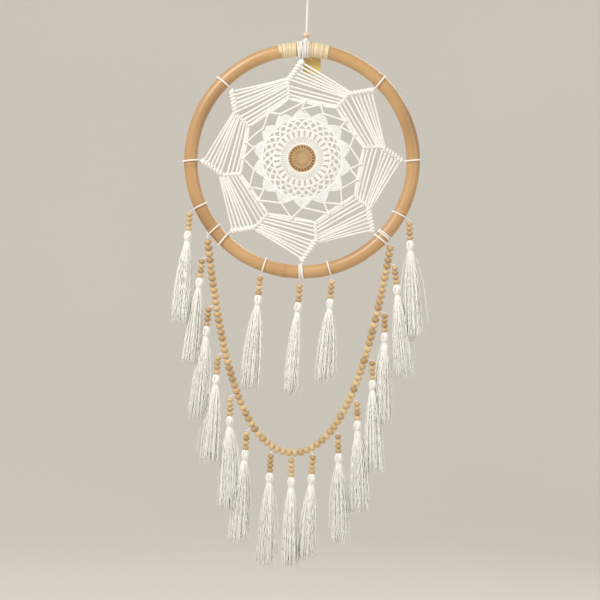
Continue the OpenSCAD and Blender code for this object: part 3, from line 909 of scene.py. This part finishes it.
def lacing(paint):  # from each petal's tip to two knots of the ring, in front of both
    batch = Batch()
    knots = knotPoints()
    for i in range(doily["petals"]):
        tip = doilyPoint(lace["tip"], doily["turn"] + i * 360 / doily["petals"], -lace["tipFront"])
        for j in (0, 1):
            end = knots[(i + j) % doily["petals"]] - lace["endFront"] * back
            rope(batch, [tip, mix(tip, end, 0.5) - 0.3 * mm * back, end], lace["cord"], 3, 8 * mm)
        ring = ringPath(tip, lace["ringR"] * sideways, lace["ringR"] * (0.8 * back + upward), 12)
        rope(batch, ring, 0.8 * mm, 2, 4 * mm, closed=True)
    batch.finish("lacing", paint["webCotton"], "hoop", "web_cotton", "lacing")


tassel = {
    "bead": (11.3 * mm, 7.6 * mm, 1.2 * mm), "pitch": 8 * mm, "beads": 4,
    "head": 6.75 * mm, "headTop": 28 * mm, "headHigh": 15.2 * mm, "yarns": 26,
    "neck": 4.9 * mm, "neckTurns": 4,
    "threads": 190, "thread": 0.68 * mm, "strays": 0.06, "flare": 2.6, "heart": 2.6 * mm,
    "lead": 4.6 * mm, "tieCord": 1.4 * mm,
}
# name, place (an angle of the hoop or a bead's number), lean, skirt length, width
hoopTassels = [
    ("tassel_left", 206, -3.4, 138, 16),
    ("tassel_bottom_left", 252, -3.1, 141, 16),
    ("tassel_bottom_middle", 271, -2.9, 139, 11.5),
    ("tassel_bottom_right", 286, -2.1, 124, 16),
    ("tassel_right", 333, 4.7, 150, 17),
]
garlandTassels = [
    ("garland_tassel_01", 3, -4.6, 126, 15),
    ("garland_tassel_02", 11, -4.5, 139, 15),
    ("garland_tassel_03", 19, -2.8, 130, 17),
    ("garland_tassel_04", 26, 1, 139, 17),
    ("garland_tassel_05", 32, -2.8, 138, 17),
    ("garland_tassel_06", 37, -0.8, 138, 15.5),
    ("garland_tassel_07", 40, 1.2, 132, 15.5),
    ("garland_tassel_08", 43, -1.3, 127, 16),
    ("garland_tassel_09", 48, 3.2, 135, 17),
    ("garland_tassel_10", 54, 3.2, 138, 16),
    ("garland_tassel_11", 61, 3.1, 138, 17),
    ("garland_tassel_12", 69, 1.5, 135, 15.5),
    ("garland_tassel_13", 77, 7.6, 138, 17),
]


def tasselPlace(place):  # where its cord starts and the middle of its first bead
    if place > garland["beads"]:
        pivot = polar(garland["tieR"], place)
        return pivot, pivot + mm * np.array([4 * math.cos(math.radians(place)), 0, -8])
    s = (place - 40) * garland["pitch"]
    out = unit(np.array([s, 0, -sag]))
    touch = (garland["bead"][0] + tassel["bead"][0]) / 2 + 0.45 * mm
    pivot = garlandPoint(s)
    return pivot + tassel["lead"] * out, pivot + touch * out - 6 * mm * abs(out[0]) * upward


def skirtThreads(batch, down, side, neck, length, width):
    # loose threads from the bound neck, each with its own wave, most ending together
    steps = 15
    t = np.linspace(0, 1, steps)
    opening = 1 - np.exp(-tassel["flare"] * t)
    core = tassel["heart"] + (width * 0.62 * mm - tassel["heart"]) * opening
    tube(batch, neck + t[:, None] * 0.87 * length * mm * down, core, 14, tone=0.75)
    turn = np.linspace(0, 2 * math.pi, 4, endpoint=False)
    ring = np.cos(turn)[None, :, None] * side + np.sin(turn)[None, :, None] * back
    r = tassel["thread"] * (1.0 - 0.25 * t)
    for i in range(tassel["threads"]):
        spoke = 2 * math.pi * i * 0.381966
        share = math.sqrt((i + 0.5) / tassel["threads"])
        stray = dice.random() < tassel["strays"]
        spread = width * mm * share * dice.uniform(0.86, 1.1) * (1.4 if stray else 1)
        start = 3.9 * mm * share
        reach = length * mm * (dice.uniform(0.8, 0.9) if stray else min(1.0, dice.gauss(0.965, 0.022)))
        flare = start + (spread - start) * opening / (1 - math.exp(-tassel["flare"]))
        waves = dice.uniform(5.0, 8.5)
        size = dice.uniform(0.4, 1.0) * mm * np.minimum(1, t * 5)
        drift = dice.gauss(0, 0.9) * mm * t ** 2
        p1, p2 = dice.uniform(0, 6.28), dice.uniform(0, 6.28)
        a = spoke + dice.gauss(0, 0.12) * t
        x = flare * np.cos(a) + size * np.sin(2 * math.pi * waves * t + p1) + drift
        y = flare * np.sin(a) * 0.92 + size * np.cos(2 * math.pi * waves * t * 0.9 + p2)
        line = neck + t[:, None] * reach * down + x[:, None] * side + y[:, None] * back
        points = line[:, None, :] + r[:, None, None] * ring
        batch.add(points.reshape(-1, 3), tubeFaces(steps, 4), dice.uniform(0.15, 0.95))


def tasselHead(batch, first, down, side):  # yarns folded over and drawn in at the neck
    top, high = tassel["headTop"], tassel["headHigh"]
    for i in range(tassel["yarns"]):
        spoke = 2 * math.pi * i / tassel["yarns"] + dice.gauss(0, 0.03)
        path = []
        for t in np.linspace(0.0, 1, 12):
            r = tassel["head"] * (0.22 + 0.78 * math.sin(math.pi * (0.06 + 0.80 * t)) ** 0.62) - 0.75 * mm
            twist = spoke + 0.16 * math.sin(3 * t + i)
            outward = math.cos(twist) * side + math.sin(twist) * back
            path.append(first + down * (top + high * t) + r * outward)
        tube(batch, path, 0.82 * mm, 6, tone=dice.uniform(0.35, 0.9))
    core = [first + down * (top + high * t) for t in np.linspace(0, 1, 8)]
    tube(batch, core, [4.2 * mm * math.sin(math.pi * (0.1 + 0.75 * k / 7)) for k in range(8)], 10, tone=0.5)


def makeTassel(paint, name, place, lean, length, width):
    start, first = tasselPlace(place)
    a = math.radians(lean)
    down = np.array([math.sin(a), 0, -math.cos(a)])
    side = np.array([math.cos(a), 0, math.sin(a)])

    beads = Batch()
    d, h, bore = tassel["bead"]
    for i in range(tassel["beads"]):
        wobble = side * dice.gauss(0, 0.05) + back * dice.gauss(0, 0.05)
        lathe(beads, beadOutline(d * dice.uniform(0.96, 1.0), h, bore), first + down * tassel["pitch"] * i,
              -down + wobble, dice.random(), 24)
    beads.finish(name + "_woodBeads", paint["beadWood"], name, "bead_wood", name + "_beads")

    cotton = Batch()
    top = first - down * 4.9 * mm
    rope(cotton, [start, mix(start, top, 0.5) + 0.6 * mm * upward, top, first], 0.8 * mm, 2, 4 * mm)
    tie = [top + 1.1 * mm * (math.cos(t) * side + math.sin(t) * back) for t in np.linspace(0, 6.28, 10)]
    tube(cotton, tie, 0.7 * mm, 6)
    rope(cotton, [first, first + down * 30 * mm], 0.9 * mm, 2, 5 * mm)
    tasselHead(cotton, first, down, side)

    # the neck: a few tight turns of cord
    neckTop = tassel["headTop"] + tassel["headHigh"] - 1.2 * mm
    neckR = tassel["neck"] - 0.75 * mm
    for i in range(tassel["neckTurns"]):
        spot = first + down * (neckTop + 1.35 * mm * i)
        ring = ringPath(spot, neckR * side + 0.3 * mm * math.sin(i) * down,
                        neckR * back + 0.3 * mm * math.cos(i) * down, 22)
        rope(cotton, ring, 0.85 * mm, 2, 4 * mm, closed=True)

    skirtThreads(cotton, down, side, first + down * (neckTop + 3 * mm), length + 3, width)
    cotton.finish(name + "_threads", paint["tasselCotton"], name, "tassel_cotton", name + "_cotton")


def tasselTies(paint):
    batch = Batch()
    for name, angle, _, _, _ in hoopTassels:
        for slip in ((-0.45, 0.5) if name == "tassel_bottom_middle" else (0,)):
            rope(batch, poleRing(angle + slip, hoop["pole"] + 1.3 * mm, 0.1), tassel["tieCord"], 3, 8 * mm,
                 closed=True)
    batch.finish("tasselTies", paint["webCotton"], "hoop", "web_cotton", "tassel_ties")


room = {"floor": -1.35, "flat": 3.2, "bend": 2.0, "top": 5, "sides": 96, "glow": 0.36,
        "dim": (0.585, 0.562, 0.52, 1), "pale": (0.625, 0.602, 0.56, 1)}


def makeStage():  # a round room: the floor curves up into one wall that stands well clear all round
    floor, flat, bend, sides = room["floor"], room["flat"], room["bend"], room["sides"]
    profile = [(0.001, floor), (flat / 2, floor), (flat, floor)]
    profile += [(flat + bend * math.sin(a), floor + bend - bend * math.cos(a))
                for a in np.linspace(0.08, math.pi / 2, 16)]
    profile += [(flat + bend, room["top"] / 2), (flat + bend, room["top"])]
    verts = [(r * math.cos(2 * math.pi * k / sides), r * math.sin(2 * math.pi * k / sides), z)
             for r, z in profile for k in range(sides)]
    faces = [tuple(f[::-1]) for f in wallFaces(len(profile), sides).tolist()]
    mesh = bpy.data.meshes.new("room")
    mesh.from_pydata(verts, [], faces)
    mesh.shade_smooth()
    thing = bpy.data.objects.new("room", mesh)
    bpy.context.scene.collection.objects.link(thing)
    p = Paint("wall", 0.9, Emission_Strength=room["glow"])
    tint = p.blend(p.noise(p.place(), 0.8, 2.0), room["dim"], room["pale"])
    p.feed("Base Color", tint)
    p.feed("Emission Color", tint)
    mesh.materials.append(p.material)


makeCamera()
finishes = makeFinishes()
hangingPieces(finishes)
garlandPieces(finishes)
print("cords and garland made")

makeLights()
makeStage()
rattanHoop(finishes)
top = anchorAngle(2)
peelBinding(finishes, "bindingLeft", top + 2.9, top + 11.5, "binding_left")
peelBinding(finishes, "bindingRight", top - 3.6, top - 13.9, "binding_right")
topWraps(finishes)
tagThread(finishes)
print("hoop made")

anchorLoops(finishes)
webSpines(finishes)
webStrands(finishes)
ringCords(finishes)
lacing(finishes)
print("web made")

doilyCentre(finishes)
doilyRounds(finishes)
doilyNet(finishes)
doilyEdging(finishes)
print("doily made")

for row in hoopTassels + garlandTassels:
    makeTassel(finishes, *row)
tasselTies(finishes)
print("tassels made")

for node, finish in (("paper_tag", "card"), ("joint_brads", "brad")):
    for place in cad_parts[node].material_slots:
        place.material = finishes[finish]
